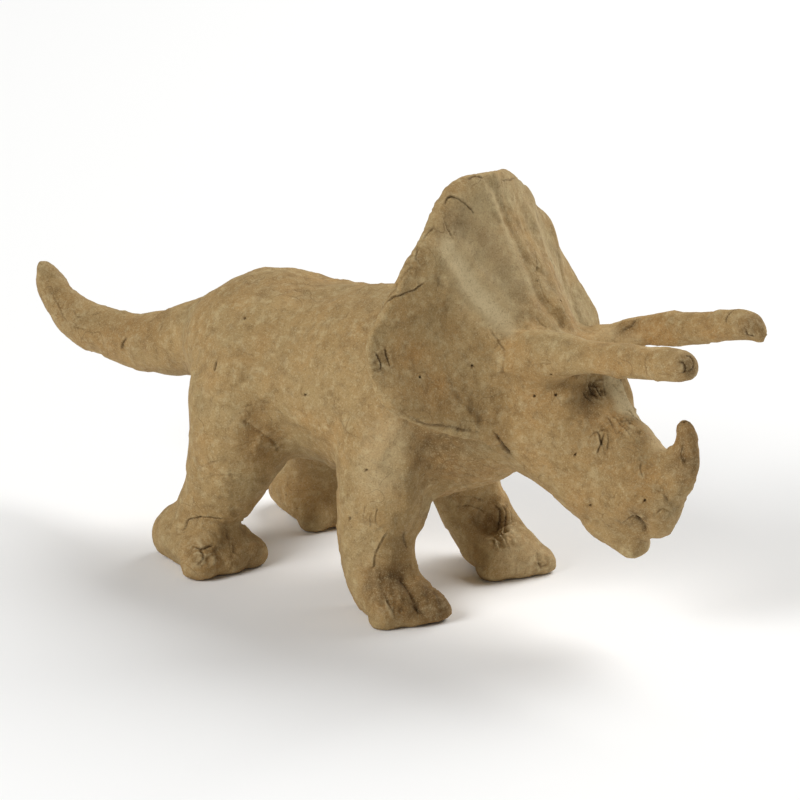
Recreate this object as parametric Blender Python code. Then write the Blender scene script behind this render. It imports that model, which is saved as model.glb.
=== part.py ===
"""A papier-mache triceratops, built as one closed solid that stands on four flat soles.

The real one is a card and paper form under several layers of pasted kraft paper, so every
limb runs into the body with soft hollows and nothing parts. +X is the way the animal looks,
+Y is its left side and +Z is up. The origin is at the bottom centre of its box.
"""

import math

import bmesh
import bpy
import numpy as np
from mathutils import Matrix, Vector, noise

NODE = "papier_mache_triceratops"

# The whole figure's size. Every place and radius on it is in thousandths of this length.
FIGURE_LENGTH = 0.270
THOUSANDTH = FIGURE_LENGTH / 1000

# How fine the forms are: sides round a limb, rings between two stations, and the mesh's cells.
SIDES = 28
RINGS_BETWEEN = 5
CELL = 5.2
SMOOTHINGS = 5
SMOOTH_SHARE = 0.5
TRIANGLES = 9400

# The frill is a sheet of card under paper.
FRILL_THICKNESS = 17
# The feet are modelled sunk this deep in the ground, and cut off level this far up them.
SOLE_SUNK = 5
SOLE_PRESSED = 5 + SOLE_SUNK
# Where each ankle stands, forward and to the left of the middle of the four feet.
FORE_ANKLES = {-1: (111, -99), 1: (116, 96)}
HIND_ANKLES = {-1: (-160, -99), 1: (-154, 103)}
# How far forward each front shank comes down from the shoulder. The left one leans more.
FORE_SHANKS = {-1: 94, 1: 76}
# All four feet point a little to the animal's right, in degrees.
FEET_TURNED = -12
# Half the distance between the two brow horns.
HORN_SPREAD = 60

# Kraft paper, dry: a warm mid brown with no gloss.
KRAFT_BROWN = (0.376, 0.262, 0.127, 1)
KRAFT_ROUGHNESS = 0.85


def smooth_through(stations, between=RINGS_BETWEEN):
    """Catmull-Rom curve through the stations, read at even steps, for all columns at once."""
    given = np.array(stations, float)
    ends = np.vstack([2 * given[0] - given[1], given, 2 * given[-1] - given[-2]])
    rows = []
    for before, start, end, after in zip(ends, ends[1:], ends[2:], ends[3:]):
        for step in range(between):
            t = step / between
            rows.append(
                0.5
                * (
                    2 * start
                    + (end - before) * t
                    + (2 * before - 5 * start + 4 * end - after) * t**2
                    + (3 * start - 3 * end + after - before) * t**3
                )
            )
    rows.append(given[-1])
    return np.array(rows)


def rounded_ends(rows, dome=0.7, steps=4):
    """The rows of a limb with a dome of shrinking rings added past each end."""
    whole = [rows]
    for last, inner, at_start in ((rows[0], rows[1], True), (rows[-1], rows[-2], False)):
        outward = last[:3] - inner[:3]
        outward /= np.linalg.norm(outward)
        reach = dome * min(last[3], last[4])
        cap = []
        for step in range(1, steps + 1):
            turn = math.pi / 2 * step / (steps + 0.4)
            centre = last[:3] + outward * reach * math.sin(turn)
            cap.append(np.concatenate([centre, last[3:] * math.cos(turn)]))
        whole = [np.array(cap[::-1])] + whole if at_start else whole + [np.array(cap)]
    return np.vstack(whole)


def add_limb(form, stations, across=(0, 1, 0)):
    """A closed limb through stations of x, y, z, half width along across, half depth.

    Each ring is an ellipse square to the path. The rings are bridged and both ends closed.
    """
    rows = rounded_ends(smooth_through(stations))
    along = np.gradient(rows[:, :3], axis=0)
    rings = []
    for row, tangent in zip(rows, along):
        forward = Vector(tangent).normalized()
        side = Vector(across) - forward * Vector(across).dot(forward)
        side.normalize()
        depth = forward.cross(side)
        ring = []
        for k in range(SIDES):
            turn = 2 * math.pi * k / SIDES
            offset = side * (row[3] * math.cos(turn)) + depth * (row[4] * math.sin(turn))
            ring.append(form.verts.new((Vector(row[:3]) + offset) * THOUSANDTH))
        rings.append(ring)
    for ring, following in zip(rings, rings[1:]):
        for k in range(SIDES):
            j = (k + 1) % SIDES
            form.faces.new((ring[k], ring[j], following[j], following[k]))
    form.faces.new(rings[0][::-1])
    form.faces.new(rings[-1])


def add_lump(form, centre, radii, turned=0):
    """An egg-shaped lump of paper pulp: a sphere stretched to the three radii, turned about Z."""
    place = (
        Matrix.Translation(Vector(centre) * THOUSANDTH)
        @ Matrix.Rotation(math.radians(turned), 4, "Z")
        @ Matrix.Diagonal((*(r * THOUSANDTH for r in radii), 1))
    )
    bmesh.ops.create_icosphere(form, subdivisions=3, radius=1, matrix=place)


def add_torso(form):
    """Barrel of the body, from the rump over the ribs to the chest and the neck."""
    add_limb(
        form,
        [
            (-232, 0, 230, 42, 42),
            (-205, 0, 235, 64, 60),
            (-172, 0, 238, 90, 82),
            (-125, 0, 236, 106, 99),
            (-65, 0, 228, 113, 101),
            (0, 0, 230, 113, 109),
            (60, 0, 234, 110, 118),
            (115, 0, 240, 102, 122),
            (165, 0, 245, 88, 104),
            (215, 0, 254, 78, 84),
            (260, 0, 262, 72, 76),
        ],
    )


def add_tail(form):
    """The tail leaves the rump level, sags a little and turns up to a blunt tip."""
    add_limb(
        form,
        [
            (-180, 0, 242, 54, 58),
            (-215, 0, 235, 47, 50),
            (-248, 0, 226, 41, 43),
            (-283, 0, 215, 36, 38),
            (-329, 0, 206, 31, 33),
            (-374, 0, 206, 27, 29),
            (-412, 0, 211, 24, 27),
            (-445, 0, 226, 20, 23),
            (-468, 0, 250, 15, 17),
            (-476, 0, 269, 11, 10),
        ],
    )


def add_foot(form, ankle, stations, toes):
    """A foot and its toes, placed ahead and to the left of the ankle and turned with the feet."""
    turn = math.radians(FEET_TURNED)
    ahead = np.array([math.cos(turn), math.sin(turn), 0])
    left = np.array([-math.sin(turn), math.cos(turn), 0])
    start = np.array([*ankle, 0.0])
    rows = []
    for forward, height, half_width, half_depth in stations:
        place = start + forward * ahead
        rows.append((place[0], place[1], height - SOLE_SUNK, half_width, half_depth))
    add_limb(form, rows, tuple(left))
    for forward, sideways, radius in toes:
        place = start + forward * ahead + sideways * left
        add_lump(form, (place[0], place[1], radius - 2 - SOLE_SUNK), (radius, radius, radius))


def add_foreleg(form, side):
    """A front leg: shoulder, a straight shank that leans forward, and a foot with toes."""
    x, y = FORE_ANKLES[side]
    shank = FORE_SHANKS[side]
    add_limb(
        form,
        [
            (shank - 2, side * 60, 245, 52, 66),
            (shank - 1, side * 74, 190, 54, 60),
            (shank, side * 86, 140, 50, 52),
            (shank, side * 95, 95, 41, 46),
            (0.6 * shank + 0.4 * x + 2, y, 55, 38, 41),
            (x + 1, y, 28, 38, 38),
        ],
    )
    add_foot(
        form,
        (x, y),
        [(-12, 29, 34, 29), (12, 31, 38, 35), (36, 26, 40, 28)],
        [(34, -29, 20), (45, 0, 20), (52, 27, 20)],
    )


def add_hind_leg(form, side):
    """A hind leg: a broad haunch, the shank leaning back, and a long foot with a full heel."""
    x, y = HIND_ANKLES[side]
    add_limb(
        form,
        [
            (-105, side * 52, 250, 58, 80),
            (-108, side * 72, 200, 58, 76),
            (-111, side * 86, 150, 51, 62),
            (-124, side * 96, 108, 42, 47),
            (-146, y, 68, 36, 38),
            (x, y, 42, 38, 40),
        ],
    )
    add_foot(
        form,
        (x, y),
        [(-37, 33, 37, 34), (-4, 39, 45, 42), (33, 30, 49, 32)],
        [(42, -32, 22), (50, 3, 22), (48, 36, 22)],
    )


def add_breast(form):
    """The lowest part of the chest, which webs the two front legs together."""
    add_lump(form, (100, 0, 166), (50, 94, 56))
    add_lump(form, (104, -66, 122), (38, 42, 44))


def add_head(form):
    """The skull hangs forward and down from the neck, and narrows to a hooked beak."""
    add_limb(
        form,
        [
            (205, 0, 282, 72, 80),
            (255, 0, 260, 74, 90),
            (300, 0, 234, 70, 86),
            (340, 0, 202, 58, 69),
            (374, 0, 184, 46, 60),
            (402, 0, 169, 37, 46),
            (421, 0, 158, 26, 32),
        ],
    )
    add_limb(
        form,
        [(402, 0, 178, 30, 26), (417, 0, 159, 25, 19), (418, 0, 139, 16, 12)],
    )
    add_limb(
        form,
        [
            (280, 0, 189, 44, 30),
            (322, 0, 161, 36, 26),
            (354, 0, 137, 30, 22),
            (386, 0, 113, 24, 16),
        ],
    )


def add_horns(form):
    """Two blunt brow horns, the left one drooping at its tip, and a short hooked nose horn."""
    add_limb(
        form,
        [
            (262, -48, 316, 27, 32),
            (312, -56, 335, 27, 29),
            (360, -HORN_SPREAD, 344, 22, 23),
            (410, -HORN_SPREAD, 351, 20, 21),
            (460, -HORN_SPREAD, 357, 19, 19),
            (488, -HORN_SPREAD, 360, 17, 18),
        ],
    )
    add_limb(
        form,
        [
            (262, 46, 300, 27, 30),
            (312, 56, 318, 24, 25),
            (350, HORN_SPREAD, 338, 20, 21),
            (402, HORN_SPREAD, 355, 19, 20),
            (440, HORN_SPREAD, 366, 18, 20),
            (475, HORN_SPREAD, 375, 17, 18),
            (495, HORN_SPREAD, 376, 15, 16),
            (505, HORN_SPREAD, 366, 11, 11),
        ],
    )
    add_limb(
        form,
        [
            (405, 0, 190, 26, 36),
            (432, 0, 212, 22, 31),
            (449, 0, 232, 17, 22),
            (450, 0, 252, 13, 16),
            (446, 0, 270, 11, 13),
        ],
    )


# The frill's rim by its right and left halves, and its root on the skull, from cheek to top.
RIGHT_RIM = [
    (258, -82, 240),
    (232, -126, 250),
    (206, -170, 265),
    (189, -198, 289),
    (170, -208, 318),
    (162, -205, 350),
    (168, -188, 382),
    (172, -168, 412),
    (174, -143, 441),
    (173, -112, 471),
    (173, -88, 496),
    (176, -60, 508),
    (182, -26, 516),
]
LEFT_RIM = [
    (256, 82, 240),
    (228, 128, 250),
    (202, 175, 266),
    (180, 200, 289),
    (162, 192, 318),
    (152, 178, 350),
    (151, 160, 382),
    (156, 141, 414),
    (158, 106, 441),
    (161, 76, 469),
    (171, 44, 489),
    (181, 4, 507),
]
FRILL_ROOT = [
    (258, 70, 236),
    (257, 71, 246),
    (256, 71, 258),
    (254, 70, 272),
    (252, 69, 286),
    (250, 67, 300),
    (249, 64, 314),
    (250, 58, 327),
    (256, 48, 335),
    (264, 36, 339),
    (272, 24, 341),
    (279, 12, 342),
    (282, 0, 342),
]
FRILL_ROWS = 14
FRILL_DISH = 10
# Soft ridges fan out over the frill: how far round from the right cheek, how high, how wide.
FRILL_RIDGES = [
    (0.10, 2.5, 0.04),
    (0.36, 9, 0.035),
    (0.50, 6, 0.03),
    (0.62, 7, 0.035),
    (0.85, 3, 0.05),
]
FRILL_WAVES = 9


def frill_sheet():
    """The frill's card as an open grid: rows run from the root on the skull out to the rim.

    It dishes back between root and rim, its rim waves and soft ridges fan out over it.
    """
    rim = smooth_through(RIGHT_RIM + LEFT_RIM[::-1], 4)
    right_root = [(x, -y, z) for x, y, z in FRILL_ROOT]
    root = smooth_through(right_root + FRILL_ROOT[-2::-1], 4)
    round_share = np.linspace(0, 1, len(rim))
    wave = 1 + 0.018 * np.sin(2 * math.pi * FRILL_WAVES * round_share + 0.6)
    rim = root + (rim - root) * wave[:, None]
    sheet = bmesh.new()
    rows = []
    for row in range(FRILL_ROWS + 1):
        out = row / FRILL_ROWS
        place = root + (rim - root) * out
        dish = FRILL_DISH * math.sin(math.pi * out)
        ridge = sum(
            height * out * np.exp(-(((round_share - centre) / width) ** 2))
            for centre, height, width in FRILL_RIDGES
        )
        place[:, 0] += ridge - 0.7 * dish
        place[:, 2] += 0.3 * ridge - 0.5 * dish
        rows.append([sheet.verts.new(Vector(p) * THOUSANDTH) for p in place])
    for row, following in zip(rows, rows[1:]):
        for k in range(len(row) - 1):
            sheet.faces.new((row[k], row[k + 1], following[k + 1], following[k]))
    bmesh.ops.recalc_face_normals(sheet, faces=sheet.faces)
    return sheet


def new_object(name, form):
    """An object that holds what the bmesh holds, linked to the scene."""
    mesh = bpy.data.meshes.new(name)
    form.to_mesh(mesh)
    form.free()
    made = bpy.data.objects.new(name, mesh)
    bpy.context.scene.collection.objects.link(made)
    return made


def settled(made):
    """The object with its modifiers carried out, and none left on it."""
    bpy.context.view_layer.update()
    graph = bpy.context.evaluated_depsgraph_get()
    mesh = bpy.data.meshes.new_from_object(made.evaluated_get(graph))
    made.modifiers.clear()
    made.data = mesh
    return made


def frill():
    """The frill's sheet given its thickness, the same to both sides of the card."""
    made = new_object("frill", frill_sheet())
    wall = made.modifiers.new("card and paper", "SOLIDIFY")
    wall.thickness = FRILL_THICKNESS * THOUSANDTH
    wall.offset = 0
    wall.use_even_offset = True
    return settled(made)


def joined(parts_form, sheet_object):
    """Every limb, lump and the frill in one mesh, still passing through each other."""
    parts_form.from_mesh(sheet_object.data)
    bpy.data.objects.remove(sheet_object)
    return new_object(NODE, parts_form)


def fused(made):
    """The shapes made one skin by a voxel remesh, then eased so that the joins are soft."""
    skin = made.modifiers.new("pasted layers", "REMESH")
    skin.mode = "VOXEL"
    skin.voxel_size = CELL * THOUSANDTH
    ease = made.modifiers.new("eased joins", "SMOOTH")
    ease.factor = SMOOTH_SHARE
    ease.iterations = SMOOTHINGS
    return settled(made)


def press(points, normals, centre, radius, depth, stretch=(1, 1, 1)):
    """Moves the skin in by depth under a round press, fading out with distance from it."""
    away = (points - np.array(centre)) / np.array(stretch)
    near = np.exp(-((np.linalg.norm(away, axis=1) / radius) ** 2))
    return points - normals * (depth * near)[:, None]


def groove(points, normals, route, width, depth):
    """Moves the skin in by depth along a line through the route's points."""
    line = smooth_through(route, 8)
    gap = np.linalg.norm(points[:, None, :] - line[None, :, :], axis=2).min(axis=1)
    return points - normals * (depth * np.exp(-((gap / width) ** 2)))[:, None]


def carve(made):
    """The hollows and lines that show from a step away, on the fused skin."""
    mesh = made.data
    count = len(mesh.vertices)
    points = np.empty(count * 3)
    mesh.vertices.foreach_get("co", points)
    points = points.reshape(-1, 3) / THOUSANDTH
    normals = np.empty(count * 3)
    mesh.vertex_normals.foreach_get("vector", normals)
    normals = normals.reshape(-1, 3)
    for side in (-1, 1):
        # Eye socket under the brow horn.
        points = press(points, normals, (366, side * 50, 300), 25, 15)
        # The side of the bridge of the nose.
        points = press(points, normals, (362, side * 38, 278), 30, 14)
        # Mouth, from the notch behind the beak to its corner.
        mouth = [(428, side * 12, 122), (412, side * 26, 138), (385, side * 34, 148)]
        points = groove(points, normals, mouth, 7, 7)
        # Hollow of the flank in front of the haunch, and behind the shoulder.
        points = press(points, normals, (-35, side * 112, 170), 46, 9)
    # The paper has sunk into the inner side of the left front ankle.
    points = press(points, normals, (130, 70, 60), 20, 11)
    lumps = [noise.noise(Vector(p) / 62) + 0.5 * noise.noise(Vector(p) / 27) for p in points]
    points = points + normals * (2.6 * np.array(lumps))[:, None]
    mesh.vertices.foreach_set("co", (points * THOUSANDTH).ravel())
    mesh.update()


def thinned(made):
    """The skin in as few triangles as hold its form."""
    made.data.calc_loop_triangles()
    fewer = made.modifiers.new("fewer facets", "DECIMATE")
    fewer.ratio = min(1, TRIANGLES / len(made.data.loop_triangles))
    return settled(made)


def stand_flat(made):
    """The soles cut level, and the figure set with its box's bottom centre on the origin."""
    lowest = min(vertex.co.z for vertex in made.data.vertices)
    floor = lowest + SOLE_PRESSED * THOUSANDTH
    form = bmesh.new()
    bmesh.ops.create_cube(form, size=2 * FIGURE_LENGTH)
    bmesh.ops.translate(form, verts=form.verts, vec=(0, 0, floor - FIGURE_LENGTH))
    block = new_object("floor_cutter", form)
    block.hide_render = True
    block.display_type = "WIRE"
    cut = made.modifiers.new("flat soles", "BOOLEAN")
    cut.operation = "DIFFERENCE"
    cut.solver = "EXACT"
    cut.object = block
    settled(made)
    bpy.data.objects.remove(block)
    corners = np.array([vertex.co for vertex in made.data.vertices])
    low, high = corners.min(axis=0), corners.max(axis=0)
    shift = Vector((-(low[0] + high[0]) / 2, -(low[1] + high[1]) / 2, -floor))
    made.data.transform(Matrix.Translation(shift))


def kraft_paper():
    """Bare kraft paper, as the pasted layers dry."""
    paper = bpy.data.materials.new("kraft_paper")
    paper.use_nodes = True
    shader = paper.node_tree.nodes["Principled BSDF"]
    shader.inputs["Base Color"].default_value = KRAFT_BROWN
    shader.inputs["Roughness"].default_value = KRAFT_ROUGHNESS
    shader.inputs["Metallic"].default_value = 0
    paper.diffuse_color = KRAFT_BROWN
    return paper


def build():
    """The whole figure, from an empty scene."""
    for old in list(bpy.data.objects):
        bpy.data.objects.remove(old)
    form = bmesh.new()
    add_torso(form)
    add_tail(form)
    for side in (-1, 1):
        add_foreleg(form, side)
        add_hind_leg(form, side)
    add_breast(form)
    add_head(form)
    add_horns(form)
    figure = fused(joined(form, frill()))
    carve(figure)
    thinned(figure)
    stand_flat(figure)
    figure.data.materials.clear()
    figure.data.materials.append(kraft_paper())
    figure.data.shade_smooth()
    return figure


build()
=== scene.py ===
import math

import bmesh
import bpy
import numpy as np
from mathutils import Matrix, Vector
from mathutils.bvhtree import BVHTree


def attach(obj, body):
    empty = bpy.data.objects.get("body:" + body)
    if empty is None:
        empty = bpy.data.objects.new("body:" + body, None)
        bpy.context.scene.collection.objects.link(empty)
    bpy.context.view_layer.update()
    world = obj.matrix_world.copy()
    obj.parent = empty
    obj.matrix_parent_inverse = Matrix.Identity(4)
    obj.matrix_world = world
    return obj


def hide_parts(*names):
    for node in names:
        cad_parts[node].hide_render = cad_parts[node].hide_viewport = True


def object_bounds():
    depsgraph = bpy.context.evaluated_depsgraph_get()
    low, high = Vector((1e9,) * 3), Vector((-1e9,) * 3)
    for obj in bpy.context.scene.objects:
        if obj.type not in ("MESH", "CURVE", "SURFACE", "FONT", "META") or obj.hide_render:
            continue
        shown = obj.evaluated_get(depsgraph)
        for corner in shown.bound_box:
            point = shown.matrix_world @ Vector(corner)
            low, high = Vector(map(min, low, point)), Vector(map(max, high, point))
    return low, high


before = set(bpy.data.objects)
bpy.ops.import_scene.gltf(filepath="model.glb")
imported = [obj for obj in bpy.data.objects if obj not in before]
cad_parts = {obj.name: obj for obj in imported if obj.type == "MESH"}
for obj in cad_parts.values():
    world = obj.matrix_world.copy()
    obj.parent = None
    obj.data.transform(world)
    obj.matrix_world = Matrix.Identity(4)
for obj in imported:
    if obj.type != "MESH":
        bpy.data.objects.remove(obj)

cad_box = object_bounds()

# Where the photograph was taken from
# A long lens looks down a little on the animal's right side and face. The figure stands on
# its soles at height 0, looks along +X, and its left is +Y. Every pixel below is in the
# photograph's own 800 by 800 frame, and lengths are in millimetres unless they say metres.
MM = 0.001
PHOTO_SIDE_PX = 800
AZIMUTH = math.radians(37.7)
ELEVATION = math.radians(19.1)
CAMERA_DISTANCE = 1800.0
SENSOR = 36.0
SEEN_FROM_M, SEEN_TO_M = 0.05, 20.0
PX_PER_MM = 3.23
# The middle between the four feet, and the pixel where the photograph shows it.
FEET_MIDDLE = np.array([-3.65, 1.42, -0.72])
FEET_MIDDLE_PX = (362.0, 567.5)

BACK = np.array(
    [
        math.sin(AZIMUTH) * math.cos(ELEVATION),
        -math.cos(AZIMUTH) * math.cos(ELEVATION),
        math.sin(ELEVATION),
    ]
)
RIGHT = np.array([math.cos(AZIMUTH), math.sin(AZIMUTH), 0.0])
UP = np.cross(BACK, RIGHT)
TARGET = (
    FEET_MIDDLE
    + RIGHT * (PHOTO_SIDE_PX / 2 - FEET_MIDDLE_PX[0]) / PX_PER_MM
    + UP * (FEET_MIDDLE_PX[1] - PHOTO_SIDE_PX / 2) / PX_PER_MM
)
EYE = TARGET + BACK * CAMERA_DISTANCE

camera_data = bpy.data.cameras.new("camera")
camera_data.sensor_width = SENSOR
camera_data.lens = SENSOR * PX_PER_MM * CAMERA_DISTANCE / PHOTO_SIDE_PX
camera_data.clip_start = SEEN_FROM_M
camera_data.clip_end = SEEN_TO_M
camera = bpy.data.objects.new("camera", camera_data)
camera.location = Vector(EYE * MM)
camera.rotation_mode = "QUATERNION"
camera.rotation_quaternion = Vector(BACK).to_track_quat("Z", "Y")
bpy.context.scene.collection.objects.link(camera)
bpy.context.scene.camera = camera


# The body of the figure
# A light form of card and crumpled paper under several layers of torn kraft paper, pasted on
# wet with the hands and left to dry. It is one piece: every limb, horn and the frill is
# bound to the next by scraps that cross the join, so its skin here is one closed mesh.
NODE = "papier_mache_triceratops"
SKIN_CELL = 1.18
SKIN_EASING = 5
EASING_SHARE = 0.5
SAME_POINT_M = 1e-6

cad_copy = bpy.data.objects.new("skin_form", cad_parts[NODE].data.copy())
bpy.context.scene.collection.objects.link(cad_copy)
form = bmesh.new()
form.from_mesh(cad_copy.data)
bmesh.ops.remove_doubles(form, verts=form.verts, dist=SAME_POINT_M)
form.to_mesh(cad_copy.data)
form.free()
even = cad_copy.modifiers.new("even cells", "REMESH")
even.mode = "VOXEL"
even.voxel_size = SKIN_CELL * MM
eased = cad_copy.modifiers.new("eased facets", "SMOOTH")
eased.factor = EASING_SHARE
eased.iterations = SKIN_EASING
bpy.context.view_layer.update()
skin_mesh = bpy.data.meshes.new_from_object(
    cad_copy.evaluated_get(bpy.context.evaluated_depsgraph_get())
)
bpy.data.objects.remove(cad_copy)
skin_mesh.name = "papier_mache_skin"


def points_of(mesh):
    """The mesh's points in millimetres, as one array."""
    flat = np.empty(len(mesh.vertices) * 3)
    mesh.vertices.foreach_get("co", flat)
    return flat.reshape(-1, 3) / MM


def normals_of(mesh):
    """The outward direction at each of the mesh's points."""
    flat = np.empty(len(mesh.vertices) * 3)
    mesh.vertex_normals.foreach_get("vector", flat)
    return flat.reshape(-1, 3)


sight_form = bmesh.new()
sight_form.from_mesh(skin_mesh)
sight_tree = BVHTree.FromBMesh(sight_form)
sight_form.free()


def on_skin(pixels):
    """Where the lines of sight through the photograph's pixels first meet the skin.

    A pixel x, y lies on the ray from the eye through the point
    target + right * (x - 400) / scale + up * (400 - y) / scale. A pixel beside the figure
    is left out.
    """
    found = []
    for x, y in pixels:
        through = (
            TARGET
            + RIGHT * (x - PHOTO_SIDE_PX / 2) / PX_PER_MM
            + UP * (PHOTO_SIDE_PX / 2 - y) / PX_PER_MM
        )
        ray = Vector(through - EYE).normalized()
        place = sight_tree.ray_cast(Vector(EYE * MM), ray)[0]
        if place is not None:
            found.append(np.array(place) / MM)
    return np.array(found)


def line_through(stops, spacing=0.3):
    """A smooth line through the stops, as points a given distance apart.

    Each span is a Catmull-Rom cubic of the stops before and after it, so it is curved
    between stops and passes through every one of them.
    """
    ends = np.vstack([2 * stops[0] - stops[1], stops, 2 * stops[-1] - stops[-2]])
    spans = []
    for before, start, end, after in zip(ends, ends[1:], ends[2:], ends[3:]):
        count = max(2, int(np.linalg.norm(end - start) / spacing))
        t = np.linspace(0, 1, count, endpoint=False)[:, None]
        spans.append(
            0.5
            * (
                2 * start
                + (end - before) * t
                + (2 * before - 5 * start + 4 * end - after) * t**2
                + (3 * start - 3 * end + after - before) * t**3
            )
        )
    return np.vstack(spans + [stops[-1:]])


def route_on_skin(route, spacing):
    """A route across the photograph, or one place on it, as points on the skin."""
    stops = on_skin(route)
    return line_through(stops, spacing) if len(stops) > 1 else stops


# Broad forms that the hands left: a route across the photograph or one place on it, then
# how far the form reaches to each side, and how high it stands. A hollow is below 0.
BROAD_FORMS = {
    "frill, swell of its face": ([(462, 215), (480, 250), (503, 292)], 8.0, 1.5),
    "frill, dip before the wing": ([(506, 192), (528, 240), (550, 290)], 6.0, -0.9),
    "frill, worn crest of the wing": (
        [(494, 188), (510, 225), (526, 262), (540, 294), (563, 320)], 3.0, -1.8),
    "frill, crest by the lobe": ([(430, 250), (449, 280), (474, 310), (500, 332)], 3.0, 1.4),
    "frill, valley beside it": ([(466, 240), (486, 268), (508, 298)], 2.8, -0.9),
    "frill, middle crest": ([(492, 190), (505, 220), (520, 252), (532, 285)], 2.2, 0.6),
    "frill, right crest": ([(528, 210), (538, 236), (549, 268), (560, 306)], 2.4, 0.7),
    "frill, recess under its fold": ([(457, 227)], 4.6, -1.2),
    "frill, pad above the fold": ([(462, 195), (476, 190)], 3.6, 0.6),
    "frill, hollow of the lobe": ([(430, 350), (455, 385)], 9.0, -0.9),
    "frill, thick lower rim": ([(392, 395), (425, 418), (462, 424)], 2.6, 0.6),
    "neck, plane edge by the shoulder": ([(396, 398), (408, 432), (412, 470), (408, 512)], 3.6, 0.9),
    "chest, hollow": ([(440, 455), (452, 480)], 8.0, -1.2),
    "shoulder, flat": ([(380, 450)], 9.0, -0.5),
    "right front shank, hollow of its front": ([(402, 545), (398, 575)], 3.4, -1.0),
    "right front foot, toe knob": ([(435, 604)], 3.0, 0.6),
    "right front foot, inner toe": ([(396, 605)], 3.0, 0.6),
    "right front foot, groove between": ([(404, 580), (413, 597), (420, 612)], 1.7, -1.3),
    "left ankle, sunk paper": ([(485, 515), (490, 526)], 4.2, -2.4),
    "left ankle, cord beside it": ([(497, 500), (506, 522), (507, 542)], 1.8, 0.8),
    "flank, hollow before the haunch": ([(262, 436), (274, 452)], 5.5, -1.2),
    "haunch, swell": ([(232, 405)], 9.0, 0.7),
    "flank, upright hollow": ([(268, 352), (266, 380), (258, 405)], 5.0, -0.7),
    "right hind foot, hollow above the toes": ([(228, 525), (233, 545)], 3.0, -1.0),
    "right hind foot, swollen heel": ([(180, 535)], 6.0, 0.5),
    "eye hollow": ([(597, 391)], 4.4, -3.4),
    "eye hollow, its lower part": ([(590, 408)], 4.6, -1.2),
    "brow, edge over the eye": ([(575, 376), (598, 376), (622, 374)], 1.7, 0.7),
    "bridge, its edge": ([(620, 379), (624, 394)], 3.0, 1.1),
    "bridge, above the nose horn": ([(645, 432), (655, 445)], 3.0, 1.0),
    "cheek, swell": ([(550, 405)], 9.0, 0.6),
    "muzzle, hollow before the nose horn": ([(655, 462)], 5.0, -0.6),
    "nose horn, hollow at its side": ([(683, 450)], 3.4, -0.7),
    "beak, swell above the lip": ([(660, 522)], 4.0, 0.5),
    "beak, swell of the lower lip": ([(634, 541)], 4.0, 0.5),
    "mouth, hollow behind the beak": ([(634, 519), (643, 526)], 2.6, -1.2),
    "tail, flat of its bend": ([(70, 300), (84, 318)], 4.0, -0.5),
}

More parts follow.
